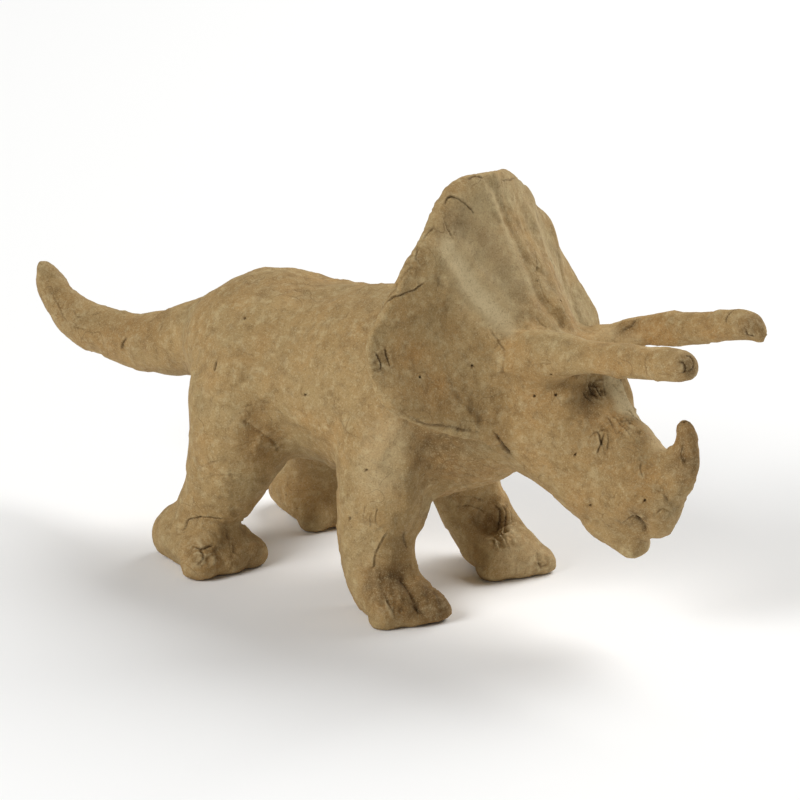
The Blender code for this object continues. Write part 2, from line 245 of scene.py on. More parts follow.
# Folds, slits and wrinkles of the wet paper. Where it was gathered round a tight shape it
# folded over itself and dried as sharp creases. Each is a route across the photograph, then
# half its width, its depth, the height of the lip along its upper or left side, and how
# dark its bottom is from 0 to 1: that darkness is painted shade in the fold.
CREASES = {
    "frill, torn edge folded over near the top": (
        [(442, 208), (450, 197), (461, 202), (470, 209), (474, 217)], 0.26, 0.5, 0.3, 1.0),
    "frill, curl under that fold": ([(443, 220), (446, 228), (451, 237)], 0.28, 0.5, 0.24, 1.0),
    "frill, short curl by its left rim": ([(434, 227), (428, 234), (423, 241)], 0.24, 0.28, 0.18, 0.75),
    "frill, left rim, upper": ([(418, 247), (417, 254), (416, 261)], 0.24, 0.28, 0.18, 0.75),
    "frill, left rim, lower": ([(413, 266), (406, 274), (400, 283)], 0.24, 0.22, 0.24, 0.4),
    "frill, long fold at the lower left rim": (
        [(384, 307), (393, 298), (403, 294), (414, 289), (424, 282)], 0.27, 0.5, 0.36, 1.0),
    "frill, second fold beside it": ([(388, 299), (396, 289), (400, 283)], 0.24, 0.33, 0.3, 0.62),
    "frill, rim fold at the top": ([(467, 180), (475, 177), (484, 178)], 0.32, 0.33, 0.3, 0.88),
    "frill, rim fold at the top right": ([(502, 180), (509, 180), (515, 178)], 0.24, 0.28, 0.18, 0.75),
    "frill, edge of a scrap on the right": (
        [(535, 246), (539, 264), (543, 281), (550, 296), (558, 307)], 0.32, 0.25, 0.18, 0.3),
    "frill, crease at its right root": ([(535, 318), (540, 324), (547, 329)], 0.28, 0.28, 0.18, 0.4),
    "frill, seam where it meets the skull": (
        [(500, 343), (505, 354), (503, 374)], 0.4, 0.33, 0.0, 0.3),
    "frill, fold below the lobe's edge": ([(490, 329), (499, 342), (507, 353)], 0.28, 0.28, 0.18, 0.4),
    "frill, pinch on the lower left rim": ([(376, 352), (380, 360), (382, 371)], 0.32, 0.44, 0.24, 0.88),
    "frill, pinch beside it": ([(385, 348), (388, 358), (391, 368)], 0.28, 0.28, 0.24, 0.62),
    "cheek, slit with a ragged edge": (
        [(495, 432), (499, 438), (503, 444), (508, 451), (513, 457)], 0.4, 1.2, 0.3, 1.0),
    "neck, fold under the frill": (
        [(433, 425), (446, 436), (451, 446), (464, 450)], 0.36, 0.28, 0.18, 0.35),
    "neck, fold beside the frill": (
        [(402, 412), (424, 423), (440, 425), (458, 428), (478, 432)], 0.59, 0.5, 0.0, 0.75),
    "right brow horn, level crease": ([(529, 366), (540, 364), (552, 364)], 0.24, 0.22, 0.12, 0.4),
    "right brow horn, slanting crease": ([(571, 354), (569, 359), (566, 363)], 0.24, 0.28, 0.12, 0.45),
    "right brow horn, under edge": (
        [(589, 383), (599, 380), (612, 379), (628, 378)], 0.4, 0.5, 0.0, 1.0),
    "right brow horn, tip curl": (
        [(684, 357), (691, 358), (693, 366), (688, 371)], 0.26, 0.39, 0.24, 0.75),
    "right brow horn, inner curl": (
        [(679, 362), (684, 364), (685, 370), (681, 374)], 0.26, 0.39, 0.24, 0.88),
    "left brow horn, crease near its tip": ([(726, 324), (728, 315), (735, 309)], 0.26, 0.33, 0.18, 0.88),
    "left brow horn, curl at its tip": ([(746, 328), (748, 334), (755, 336)], 0.36, 0.5, 0.24, 1.0),
    "left brow horn, crease at its root": ([(622, 331), (630, 326), (638, 321)], 0.4, 0.33, 0.18, 0.62),
    "nose horn, notch at its tip": ([(682, 422), (687, 421), (691, 424)], 0.28, 0.33, 0.18, 0.88),
    "nose horn, crease down its side": ([(681, 446), (679, 455), (684, 464)], 0.28, 0.22, 0.18, 0.4),
    "eye hollow, first string": ([(590, 384), (593, 391), (598, 398)], 0.28, 0.5, 0.36, 0.88),
    "eye hollow, second string": ([(596, 382), (599, 390), (603, 398)], 0.26, 0.44, 0.36, 0.88),
    "eye hollow, third string": ([(604, 382), (606, 388), (607, 396)], 0.26, 0.44, 0.3, 0.75),
    "eye hollow, fourth string": ([(584, 390), (588, 397), (594, 403)], 0.26, 0.28, 0.3, 0.62),
    "below the eye, middle wrinkle": ([(597, 432), (600, 439), (602, 447)], 0.24, 0.33, 0.24, 0.75),
    "below the eye, left wrinkle": ([(604, 434), (601, 443), (597, 454)], 0.24, 0.33, 0.24, 0.75),
    "below the eye, right wrinkle": ([(607, 433), (608, 441), (607, 451)], 0.24, 0.22, 0.18, 0.4),
    "below the eye, long wrinkle": ([(590, 438), (596, 433), (606, 430)], 0.24, 0.22, 0.18, 0.4),
    "bridge, first wrinkle": ([(622, 410), (632, 417), (642, 428)], 0.24, 0.28, 0.24, 0.62),
    "bridge, second wrinkle": ([(618, 418), (628, 423), (640, 435)], 0.24, 0.22, 0.24, 0.4),
    "bridge, third wrinkle": ([(611, 414), (622, 428), (634, 442)], 0.24, 0.22, 0.24, 0.35),
    "bridge, fourth wrinkle": ([(630, 408), (640, 418), (650, 431)], 0.24, 0.22, 0.24, 0.62),
    "bridge, fifth wrinkle": ([(606, 412), (612, 424), (618, 438)], 0.24, 0.17, 0.18, 0.3),
    "muzzle, crease below the nose horn": ([(642, 461), (641, 469), (644, 477)], 0.24, 0.28, 0.18, 0.4),
    "muzzle, crease to the right": ([(663, 486), (665, 493), (668, 500)], 0.24, 0.22, 0.12, 0.3),
    "mouth, cleft behind the beak": (
        [(636, 518), (641, 526), (646, 534), (652, 541), (656, 545)], 0.59, 1.2, 0.3, 0.8),
    "mouth, upper wrinkle": ([(622, 522), (631, 518), (642, 520)], 0.32, 0.28, 0.18, 0.4),
    "beak, crease under its lip": ([(655, 513), (663, 508), (672, 512)], 0.32, 0.22, 0.12, 0.3),
    "tail, long curved crease": (
        [(50, 287), (56, 301), (61, 310), (66, 319), (72, 324)], 0.28, 0.25, 0.21, 0.4),
    "tail, crease below it": ([(76, 327), (82, 329), (90, 330)], 0.26, 0.22, 0.18, 0.35),
    "tail, crease in its bend": ([(73, 309), (77, 316), (82, 317)], 0.26, 0.22, 0.18, 0.35),
    "tail, crease on its upper edge": ([(91, 315), (102, 313), (113, 310)], 0.26, 0.22, 0.18, 0.35),
    "tail, short dark nick": ([(127, 337), (123, 343), (121, 349)], 0.32, 0.33, 0.18, 1.0),
    "rump, short dark nick": ([(218, 361), (217, 366), (216, 372)], 0.32, 0.39, 0.18, 1.0),
    "flank, groove in front of the haunch": (
        [(240, 411), (245, 420), (258, 431), (268, 438), (276, 446), (281, 456)], 0.51, 0.28, 0.3, 0.3),
    "haunch, upper wrinkle": ([(196, 470), (214, 462), (232, 460)], 0.32, 0.17, 0.18, 0.2),
    "haunch, lower wrinkle": ([(200, 480), (222, 474), (240, 476)], 0.32, 0.17, 0.18, 0.2),
    "right hind foot, level crease": (
        [(226, 518), (206, 518), (190, 519), (187, 528), (181, 533)], 0.29, 0.44, 0.36, 0.88),
    "right hind foot, crease behind the toes": (
        [(226, 520), (229, 535), (232, 552), (231, 570)], 0.68, 0.28, 0.0, 0.35),
    "right hind foot, pinch": ([(194, 547), (201, 551), (207, 548), (212, 545)], 0.32, 0.44, 0.3, 0.75),
    "right hind foot, lower pinch": ([(201, 552), (203, 559), (197, 566)], 0.32, 0.44, 0.24, 0.75),
    "right front shank, first wrinkle": ([(366, 505), (364, 513), (363, 521)], 0.24, 0.28, 0.24, 0.4),
    "right front shank, second wrinkle": ([(372, 512), (370, 520), (370, 529)], 0.24, 0.28, 0.24, 0.4),
    "right front shank, third wrinkle": ([(378, 507), (376, 517), (377, 527)], 0.24, 0.28, 0.24, 0.3),
    "right front leg, edge of the wrapped sheet": (
        [(388, 533), (381, 543), (376, 556), (375, 568)], 0.32, 0.39, 0.48, 0.3),
    "right front leg, groove down its front": (
        [(378, 566), (382, 580), (384, 596), (380, 612)], 0.9, 0.4, 0.3, 0.12),
    "right front leg, dark groove at the back": (
        [(406, 532), (407, 541), (409, 550)], 0.51, 0.39, 0.18, 0.75),
    "right front foot, groove between the toes": (
        [(402, 576), (409, 590), (415, 603), (422, 614)], 1.0, 0.6, 0.3, 0.15),
    "right front foot, pit by the heel": ([(386, 594), (389, 603), (393, 612)], 0.4, 0.39, 0.5, 0.3),
    "right front foot, second groove": ([(411, 604), (418, 610), (425, 616)], 0.5, 0.33, 0.3, 0.3),
    "left front leg, first fan wrinkle": ([(456, 486), (465, 486), (475, 488)], 0.24, 0.28, 0.18, 0.45),
    "left front leg, second fan wrinkle": (
        [(459, 507), (468, 505), (478, 509), (487, 516)], 0.26, 0.33, 0.18, 0.62),
    "left front leg, third fan wrinkle": (
        [(452, 497), (462, 495), (474, 497), (486, 503)], 0.26, 0.28, 0.18, 0.4),
    "left front leg, fold over the hollow": (
        [(493, 503), (499, 510), (500, 520), (495, 531)], 0.4, 0.55, 0.6, 0.8),
    "left front leg, wrinkle beside it": (
        [(499, 504), (504, 513), (505, 525), (503, 538)], 0.26, 0.39, 0.3, 0.75),
    "left front leg, outer wrinkle": ([(503, 504), (509, 514), (511, 526)], 0.26, 0.28, 0.24, 0.45),
    "left front leg, lower wrinkle": ([(499, 530), (503, 539), (508, 548)], 0.26, 0.28, 0.7, 0.3),
    "left front leg, second lower wrinkle": ([(493, 536), (498, 543), (501, 551)], 0.26, 0.28, 0.7, 0.25),
    "left front foot, toe crumple": ([(536, 560), (541, 566), (548, 564)], 0.32, 0.33, 0.24, 0.75),
    "left front foot, under edge": ([(516, 575), (526, 577), (536, 573)], 0.59, 0.28, 0.0, 0.4),
}

# The far side had the same hands at work, so these come again there, a little displaced.
FAR_SIDE_TOO = ("eye hollow", "below the eye", "cheek", "mouth", "right hind foot", "neck", "rump")
FAR_SIDE_SHIFT = np.array([1.2, 0.0, -0.8])

# Crumples: round the feet, in the hollows and at the tips the wet paper was pinched into
# small sharp ridges. Each is a place on the photograph, its radius, the height of the
# ridges, and how much darker the paper is made: partly browner paper, partly painted
# shade that is deepest in the crumple's valleys.
CRUMPLES = {
    "right hind foot": ((204, 554), 5.0, 0.9, 0.25),
    "right hind toes": ((247, 552), 7.0, 0.35, 0.35),
    "right front toes": ((394, 604), 4.5, 0.8, 0.1),
    "right front toe knob": ((436, 603), 5.0, 0.7, 0.4),
    "right front of the shank": ((398, 575), 6.0, 0.25, 0.25),
    "left front hollow": ((487, 519), 5.0, 0.3, 0.48),
    "left front ankle": ((503, 538), 4.6, 1.1, 0.0),
    "left front toes": ((542, 564), 4.0, 0.6, 0.4),
    "left front sole": ((515, 570), 5.0, 0.3, 0.3),
    "eye hollow": ((598, 389), 3.8, 0.9, 0.8),
    "below the eye": ((601, 441), 5.0, 0.35, 0.2),
    "bridge": ((626, 420), 5.0, 0.3, 0.1),
    "mouth": ((637, 520), 3.6, 0.5, 0.6),
    "beak": ((662, 515), 6.0, 0.35, 0.25),
    "nose horn": ((687, 455), 8.0, 0.35, 0.3),
    "right horn tip": ((687, 366), 4.2, 0.5, 0.3),
    "left horn tip": ((750, 326), 5.0, 0.5, 0.3),
    "frill below its fold": ((457, 227), 4.6, 0.35, 0.45),
    "frill lower left rim": ((381, 362), 4.5, 0.7, 0.45),
    "frill upper left rim": ((414, 264), 6.0, 0.35, 0.2),
    "chest": ((437, 460), 10.0, 0.25, 0.15),
    "tail tip": ((46, 268), 3.0, 0.4, 0.45),
}

# Pinholes that trapped air left in the outer layer, each sunk and darkened with painted shade.
PINHOLES_PX = [
    (535, 396), (556, 395), (551, 375), (561, 301), (350, 518), (285, 495), (305, 395),
    (244, 317), (590, 506), (473, 366), (421, 377), (366, 470), (645, 500), (575, 455),
]
PINHOLE_RADIUS = 0.38
PINHOLE_DEPTH = 0.8
PINHOLE_SHADE = 1.3


def on_far_side(stops):
    """The stops mirrored to the figure's other side and set on the skin there."""
    mirrored = stops * np.array([1, -1, 1]) + FAR_SIDE_SHIFT
    return np.array([np.array(sight_tree.find_nearest(Vector(p * MM))[0]) / MM for p in mirrored])


creases = []
for name, (route, *sizes) in CREASES.items():
    stops = on_skin(route)
    if len(stops) > 1:
        creases.append((line_through(stops), sizes))
        if name.startswith(FAR_SIDE_TOO):
            creases.append((line_through(on_far_side(stops)), sizes))
crumples = []
for name, (place_px, *sizes) in CRUMPLES.items():
    middle = on_skin([place_px])
    crumples.append((middle[0], sizes))
    if name.startswith(FAR_SIDE_TOO):
        crumples.append((on_far_side(middle)[0], sizes))
pinholes = on_skin(PINHOLES_PX)


def nearest_on(points, line, reach):
    """The points within reach of a line, their distances, and the line's nearest points.

    Points outside the line's own box, grown by the reach, are left out first.
    """
    low = line.min(axis=0) - reach
    high = line.max(axis=0) + reach
    inside = np.flatnonzero(np.all((points > low) & (points < high), axis=1))
    gaps = np.linalg.norm(points[inside, None, :] - line[None, :, :], axis=2)
    nearest = gaps.argmin(axis=1)
    gap = gaps[np.arange(len(inside)), nearest]
    within = gap < reach
    return inside[within], gap[within], nearest[within]


def split_near(mesh, near):
    """Splits in half every edge whose two ends are marked, and leaves triangles."""
    made = bmesh.new()
    made.from_mesh(mesh)
    bmesh.ops.triangulate(made, faces=made.faces)
    close = [e for e in made.edges if near[e.verts[0].index] and near[e.verts[1].index]]
    bmesh.ops.subdivide_edges(made, edges=close, cuts=1, use_grid_fill=True)
    bmesh.ops.triangulate(made, faces=made.faces)
    made.to_mesh(mesh)
    made.free()


# A fold 0.6 mm wide needs finer cells than the rest: halved in the sharp crumples and along
# the creases, then halved again along the creases.
SHARP_CRUMPLE = 0.4
for reach, with_crumples in ((1.5, True), (0.95, False)):
    points = points_of(skin_mesh)
    near = np.zeros(len(points), bool)
    for line, _ in creases:
        near[nearest_on(points, line, reach)[0]] = True
    for hole in pinholes:
        near[np.linalg.norm(points - hole, axis=1) < reach] = True
    if with_crumples:
        for middle, (radius, height, _) in crumples:
            if height > SHARP_CRUMPLE:
                near[np.linalg.norm(points - middle, axis=1) < radius] = True
    split_near(skin_mesh, near)

points = points_of(skin_mesh)
normals = normals_of(skin_mesh)
lift = np.zeros(len(points))
dark = np.zeros(len(points))
pale = np.zeros(len(points))
tint = np.zeros(len(points))


def step(value, width):
    """0 below 0, 1 above the width, and the smoothstep 3t^2 - 2t^3 between."""
    t = np.clip(value / width, 0, 1)
    return t * t * (3 - 2 * t)


def hump(distance, width):
    """1 at distance 0 and fading to both sides: e to the power -(distance / width)^2."""
    return np.exp(-((distance / width) ** 2))


LATTICE = 64


def wavy(places, size, seed):
    """Smooth noise from -1 to 1 with swells about a given size across.

    Seeded random values sit on a cubic lattice of that pitch. Inside a cell the eight
    corners are mixed by the smoothstep of the place within the cell.
    """
    lattice = np.random.default_rng(seed).uniform(-1, 1, (LATTICE, LATTICE, LATTICE))
    cell = np.floor(places / size).astype(int)
    share = places / size - cell
    share = share * share * (3 - 2 * share)
    value = np.zeros(len(places))
    for corner in np.ndindex(2, 2, 2):
        at = (cell + corner) % LATTICE
        weight = np.prod(np.where(corner, share, 1 - share), axis=1)
        value += weight * lattice[at[:, 0], at[:, 1], at[:, 2]]
    return value


# Under the last layer the form is uneven: thumbs pressed it, wads of paper swell under it.
# Each swell has a size across, a height and the seed of its noise.
SWELLS = [(19.0, 0.42, 11), (8.5, 0.30, 12), (4.2, 0.15, 13), (2.3, 0.07, 14)]
for size, height, seed in SWELLS:
    lift += height * wavy(points, size, seed)

# What the photograph located lies on the side that faces it, not on the back of the frill.
TURNED_AWAY = 0.35
TURNING_BAND = 0.4
facing_photo = step(normals @ BACK + TURNED_AWAY, TURNING_BAND)
FADED_OUT = 2.4
for route, reach, height in BROAD_FORMS.values():
    index, gap, _ = nearest_on(points, route_on_skin(route, 1.0), FADED_OUT * reach)
    lift[index] += height * hump(gap, reach) * facing_photo[index]

# The outer layer is kraft paper torn by hand into pieces of 15 to 30 mm and pasted on one
# over another. Each is a rounded rectangle with a ragged edge, as thick as two sheets with
# paste, and it swells where its edge was rubbed down. It is stiff, so it lies flatter than
# what is under it, its tone is its own, and a thin painted shadow darkens the paper just
# outside its edge.
SCRAPS = 360
SCRAP_HALF_LENGTH = (8.0, 15.0)
SCRAP_HALF_WIDTH = (5.5, 9.5)
SCRAP_THICKNESS = (0.06, 0.2)
SCRAP_SQUARENESS = 3.2
SCRAP_FLATNESS = 0.22
SCRAP_MOST_FLATTENED = 0.5
TORN_EDGE = 0.7
RAGGEDNESS = 1.0
RIM_SHARE, RIM_INSIDE, RIM_WIDTH = 0.4, 0.7, 0.6
SCRAP_EDGE_SHADOW, SHADOW_OUTSIDE, SHADOW_WIDTH = 0.07, 0.1, 0.3
SCRAP_MARGIN = 4.0
LEAST_FACING, FACING_BAND = 0.1, 0.5
SLANTED = (0.31, 0.52, 0.79)
random = np.random.default_rng(2024)


def laid_at(seat):
    """The outward, along and across directions of something laid at a point at any angle."""
    facing = normals[seat]
    level = np.cross(facing, SLANTED)
    level /= np.linalg.norm(level)
    spin = random.uniform(0, math.pi)
    along = level * math.cos(spin) + np.cross(facing, level) * math.sin(spin)
    return facing, along, np.cross(facing, along)


ragged = wavy(points, 2.6, 21) + 0.5 * wavy(points, 1.3, 22)
flattened = np.zeros(len(points))
for seat in random.choice(len(points), SCRAPS, replace=False):
    half_length = random.uniform(*SCRAP_HALF_LENGTH)
    half_width = random.uniform(*SCRAP_HALF_WIDTH)
    thickness = random.uniform(*SCRAP_THICKNESS)
    shade = random.uniform(-1, 1)
    facing, along, across = laid_at(seat)
    away = points - points[seat]
    close = np.flatnonzero(np.einsum("ij,ij->i", away, away) < (half_length + SCRAP_MARGIN) ** 2)
    close = close[normals[close] @ facing > LEAST_FACING]
    u = np.abs(away[close] @ along) / half_length
    v = np.abs(away[close] @ across) / half_width
    spread = (u**SCRAP_SQUARENESS + v**SCRAP_SQUARENESS) ** (1 / SCRAP_SQUARENESS)
    inward = (1 - spread) * half_width + RAGGEDNESS * ragged[close]
    toward_it = step(normals[close] @ facing - LEAST_FACING, FACING_BAND)
    cover = step(inward, TORN_EDGE) * toward_it
    lift[close] += thickness * cover
    lift[close] += RIM_SHARE * thickness * toward_it * hump(inward - RIM_INSIDE, RIM_WIDTH)
    below = -(away[close] @ facing)
    toward = np.clip(SCRAP_FLATNESS * below, -SCRAP_MOST_FLATTENED, SCRAP_MOST_FLATTENED)
    flattened[close] = flattened[close] * (1 - cover) + toward * cover
    tint[close] = tint[close] * (1 - cover) + shade * cover
    # A thin painted shadow just outside the scrap's edge.
    dark[close] += SCRAP_EDGE_SHADOW * toward_it * hump(inward + SHADOW_OUTSIDE, SHADOW_WIDTH)
lift += flattened
lift -= np.median(lift)

# Short wrinkles all over: each scrap shrank as it dried and pulled a few hair creases. They
# cover the hidden sides too. Painted shade darkens the bottom of each one.
WRINKLES = 380
WRINKLE_LENGTH = (3.0, 9.0)
WRINKLE_DEPTH = (0.06, 0.24)
WRINKLE_HALF_WIDTH = 0.5
WRINKLE_MOST_BENT = 0.5
WRINKLE_WAVER = 0.4
WRINKLE_LEAST_FACING = 0.3
WRINKLE_LIP, LIP_BESIDE, LIP_WIDTH = 0.5, 1.0, 0.6
WRINKLE_SHADE = 0.5
for seat in random.choice(len(points), WRINKLES, replace=False):
    length = random.uniform(*WRINKLE_LENGTH)
    depth = random.uniform(*WRINKLE_DEPTH)
    bend = random.uniform(-WRINKLE_MOST_BENT, WRINKLE_MOST_BENT)
    facing, along, across = laid_at(seat)
    away = points - points[seat]
    close = np.flatnonzero(np.einsum("ij,ij->i", away, away) < length**2)
    close = close[normals[close] @ facing > WRINKLE_LEAST_FACING]
    u = away[close] @ along / length
    v = away[close] @ across - bend * length * u**2 + WRINKLE_WAVER * ragged[close]
    fade = np.clip(1 - (2 * u) ** 2, 0, 1)
    valley = hump(v, WRINKLE_HALF_WIDTH)
    lip = WRINKLE_LIP * hump(v - LIP_BESIDE, LIP_WIDTH)
    lift[close] += depth * fade * (lip - valley)
    # Painted shade in the wrinkle's valley.
    dark[close] += WRINKLE_SHADE * depth * fade * valley

# Crumples: ridges are where a folded noise crosses its middle. Their tops are lightened
# with a painted highlight, and painted shade darkens the bottoms most.
RIDGE_MIDDLE = 0.4
BOTTOM_DARK, LESS_ON_RIDGE = 0.85, 0.6
RIDGE_HIGHLIGHT, HIGHLIGHT_FROM, HIGHLIGHT_BAND = 0.8, 0.5, 0.3
ridged = 1 - 1.3 * np.abs(wavy(points, 2.1, 31)) - 0.7 * np.abs(wavy(points, 1.05, 32))
for middle, (radius, height, darkness) in crumples:
    share = hump(np.linalg.norm(points - middle, axis=1), radius)
    lift += height * (ridged - RIDGE_MIDDLE) * share
    # Painted shade, deepest between the ridges, and a painted highlight on the ridge tops.
    dark += darkness * share * (BOTTOM_DARK - LESS_ON_RIDGE * ridged)
    pale += RIDGE_HIGHLIGHT * height * share * step(ridged - HIGHLIGHT_FROM, HIGHLIGHT_BAND)

# Creases: a valley along each line, with a lip on the side that lies up or left of it. Its
# width and places are in half widths of the valley. The line wavers, and both ends run out.
# Painted shade darkens the bottom of the valley, and a painted highlight lightens the lip.
CREASE_REACH, CREASE_LEAST_REACH = 4.5, 2.0
LIP_AT, LIP_HIGHLIGHT = 1.8, 0.55
BOTTOM = 0.9
RUN_OUT_FROM, RUN_OUT = 0.05, 0.25
PAST_END_AREA = 0.5
crooked = 0.22 * wavy(points, 1.7, 33)
uneven = 0.8 + 0.3 * wavy(points, 2.4, 34)
for line, (half_width, depth, lip, darkness) in creases:
    reach = max(CREASE_REACH * half_width, CREASE_LEAST_REACH)
    index, gap, nearest = nearest_on(points, line, reach)
    run = np.gradient(line, axis=0)
    run /= np.linalg.norm(run, axis=1)[:, None] + 1e-9
    side = np.cross(run[nearest], normals[index])
    side *= np.sign(side @ (UP - RIGHT))[:, None]
    across = np.einsum("ij,ij->i", points[index] - line[nearest], side)
    past_end = np.maximum(gap**2 - across**2, 0)
    offset = across + crooked[index]
    to_end = np.minimum(nearest, len(line) - 1 - nearest) / max(1, len(line) - 1)
    fade = step(to_end + RUN_OUT_FROM, RUN_OUT) * np.exp(-past_end / PAST_END_AREA) * uneven[index]
    ridge = hump(offset - LIP_AT * half_width, half_width)
    lift[index] += fade * (lip * ridge - depth * hump(offset, half_width))
    # Painted shade along the bottom of the crease, and a painted highlight on its lip.
    dark[index] += darkness * fade * hump(offset, BOTTOM * half_width)
    pale[index] += LIP_HIGHLIGHT * lip * fade * ridge

for hole in pinholes:
    gap = np.linalg.norm(points - hole, axis=1)
    pit = np.exp(-((gap / PINHOLE_RADIUS) ** 4))
    lift -= PINHOLE_DEPTH * pit
    # Painted shade in the pit.
    dark += PINHOLE_SHADE * pit

# The soles stay flat and level where the figure stands, so nothing is lifted there.
SOLE_FLAT = 0.2
SOLE_BAND = 1.6
lift *= step(points[:, 2] - SOLE_FLAT, SOLE_BAND)
low, high = (np.array(corner) / MM for corner in cad_box)
points = np.clip(points + normals * lift[:, None], low, high)
skin_mesh.vertices.foreach_set("co", (points * MM).ravel())
skin_mesh.update()
skin_mesh.shade_smooth()
skin = bpy.data.objects.new("papier_mache_skin", skin_mesh)
bpy.context.scene.collection.objects.link(skin)

# Some areas are browner, paler or redder. Some of this is the paper's own tone, where paste
# and damp left it; what is painted shade or painted light is marked below. Each is a place
# on the photograph or a route across it, how far it reaches, how much browner it is, below 0
# for paler, and how much redder.
STAINS_AND_PAINTED_LIGHT = {
    # Painted light: the frill's face tilts up towards the lights and is made paler.
    "frill, whole face": ([(470, 240), (492, 285)], 13.0, -0.34, -0.4),
    # Painted highlights on the crests and painted shade in the valley between, partly paler and browner
    # paper.
    "frill, pale band by the lobe": ([(446, 250), (466, 281), (490, 311), (506, 328)], 3.5, -0.55, -0.3),
    "frill, brown band beyond it": ([(482, 236), (502, 268), (522, 300)], 2.8, 0.2, 0.8),
    "frill, pale streak": ([(497, 195), (508, 228), (520, 258), (536, 290)], 2.0, -0.2, -0.6),
    # Painted shade under the frill's fold and in the recess below it.
    "frill, painted shade under its fold": ([(470, 222), (480, 236)], 2.4, 0.16, 0.8),
    "frill, recess": ([(457, 227)], 4.0, 0.16, 0.4),
    # Greener paper on the right wing and the top, made a little paler with painted light.
    "frill, right wing": ([(524, 200), (546, 245), (564, 285), (578, 314)], 8.0, -0.1, -1.9),
    "frill, top": ([(480, 192), (510, 192)], 5.0, -0.1, -1.4),
    "frill, lower lobe": ([(425, 350)], 15.0, 0.02, 0.9),
    # Painted shade on the lobe's lower half, partly browner paper, and on the neck under its rim.
    "frill, lobe's lower half": ([(420, 395), (470, 405)], 6.0, 0.16, 0.8),
    "neck under the frill": ([(405, 428), (430, 442), (475, 446)], 4.0, 0.22, 0.5),
    "back, its broad top": ([(215, 288), (250, 282), (300, 284), (350, 292), (372, 298)], 9.0, 0.17, 0.0),
    "front of the haunch": ([(258, 440)], 8.0, 0.16, 0.8),
    # Painted shade on the chest, which faces away from both lights.
    "chest": ([(440, 455)], 12.0, 0.24, 0.7),
    "shoulder": ([(385, 440), (375, 480)], 7.0, -0.34, 0.2),
    "right front shank": ([(360, 530), (362, 580)], 5.0, -0.10, 0.2),
    # Painted shade on the right feet and front shank where they turn from the lights, partly browner and
    # redder paper.
    "inner right front shank": ([(400, 545), (392, 572)], 5.0, 0.16, 0.5),
    "right front foot": ([(386, 587), (405, 600), (438, 602)], 7.5, 0.44, 2.2),
    "right hind toes": ([(246, 553)], 8.0, 0.18, 1.0),
    "right hind foot": ([(200, 556)], 8.0, 0.05, 1.0),
    "left front leg": ([(470, 500), (485, 525)], 6.0, 0.07, 0.8),
    # Painted light on the left front foot's upturned top, with a redder tone.
    "left front foot": ([(515, 556), (540, 568)], 6.5, -0.4, 2.2),
    # Painted shade on the far hind leg, in the body's shadow.
    "far hind leg": ([(300, 490)], 14.0, 0.04, 0.5),
    "tail": ([(60, 300), (90, 322), (150, 330)], 9.0, 0.18, 0.6),
    "belly": ([(330, 440)], 12.0, 0.0, 0.5),
    "cheek and jaw": ([(560, 420), (620, 490)], 20.0, 0.05, 1.0),
    "cheek, upper": ([(545, 390)], 12.0, 0.07, 0.7),
    # Painted shade in the eye hollow.
    "beside the eye": ([(586, 394), (590, 408)], 4.0, 0.26, 0.2),
    # Painted light on the bridge, which is made paler and greener, and above the nose horn.
    "bridge": ([(615, 384), (620, 396), (626, 408)], 3.4, -1.0, -3.0),
    "bridge, above the nose horn": ([(638, 420), (650, 436), (658, 447)], 3.0, -0.5, 0.6),
    "right brow horn": ([(600, 355), (680, 365)], 8.0, 0.06, 0.8),
    "right brow horn, tip": ([(688, 366)], 4.5, 0.25, 0.5),
    "left brow horn": ([(650, 325), (740, 322)], 10.0, 0.06, 0.9),
    # Painted shade at the root where the left brow horn meets the head.
    "left brow horn, base": ([(622, 330), (632, 327)], 3.0, 0.35, 0.4),
    "left brow horn, tip": ([(752, 328)], 4.0, 0.25, 0.4),
    "beak": ([(625, 530), (640, 535)], 6.0, 0.14, 0.6),
    "nose horn": ([(684, 428), (686, 448), (692, 470)], 6.0, 0.32, 1.3),
    # Painted highlight along the top of the brow, with a pinkish tone.
    "brow": ([(606, 334), (632, 340), (655, 347)], 2.6, -0.35, 0.8),
}
SCRAP_SHADES = 0.4
tint *= SCRAP_SHADES
frayed = 0.3 * wavy(points, 1.6, 42)
for route, radius, browner, redder in STAINS_AND_PAINTED_LIGHT.values():
    blotch = 1 + 0.7 * wavy(points, 0.4 * radius + 1.0, 41) + frayed
    line = route_on_skin(route, 1.5)
    gap = np.min([np.linalg.norm(points - stop, axis=1) for stop in line], axis=0)
    share = np.exp(-((gap / radius) ** 4) * blotch) * facing_photo
    dark = dark * (1 - max(-browner, 0) * share) + max(browner, 0) * share
    pale += max(-browner, 0) * share
    tint += redder * share


def keep(mesh, name, values):
    """Keeps one number for each point of the mesh, for the material to read."""
    layer = mesh.attributes.new(name, "FLOAT", "POINT")
    layer.data.foreach_set("value", values.astype(np.float32))


MIDDLE_TINT = 0.35
TINT_STEP = 0.25
keep(skin_mesh, "dark", np.clip(dark, 0, 1))
keep(skin_mesh, "pale", np.clip(pale, 0, 1))
keep(skin_mesh, "tint", np.clip(MIDDLE_TINT + TINT_STEP * tint, 0, 1))


def srgb(code):
    """A hex colour turned to linear light: each channel below 0.04045 over 12.92, and above
    it ((c + 0.055) / 1.055) to the power 2.4."""
    channels = [int(code[i : i + 2], 16) / 255 for i in (1, 3, 5)]
    return (
        *(c / 12.92 if c <= 0.04045 else ((c + 0.055) / 1.055) ** 2.4 for c in channels),
        1.0,
    )


# Kraft paper, torn, pasted and dried: unbleached softwood paper, matt and mid brown, cloudy
# where paste soaked in, speckled with short dark and light fibres.
KRAFT = "#A98D5E"
KRAFT_REDDER = "#AD834C"
KRAFT_GREENER = "#A69167"
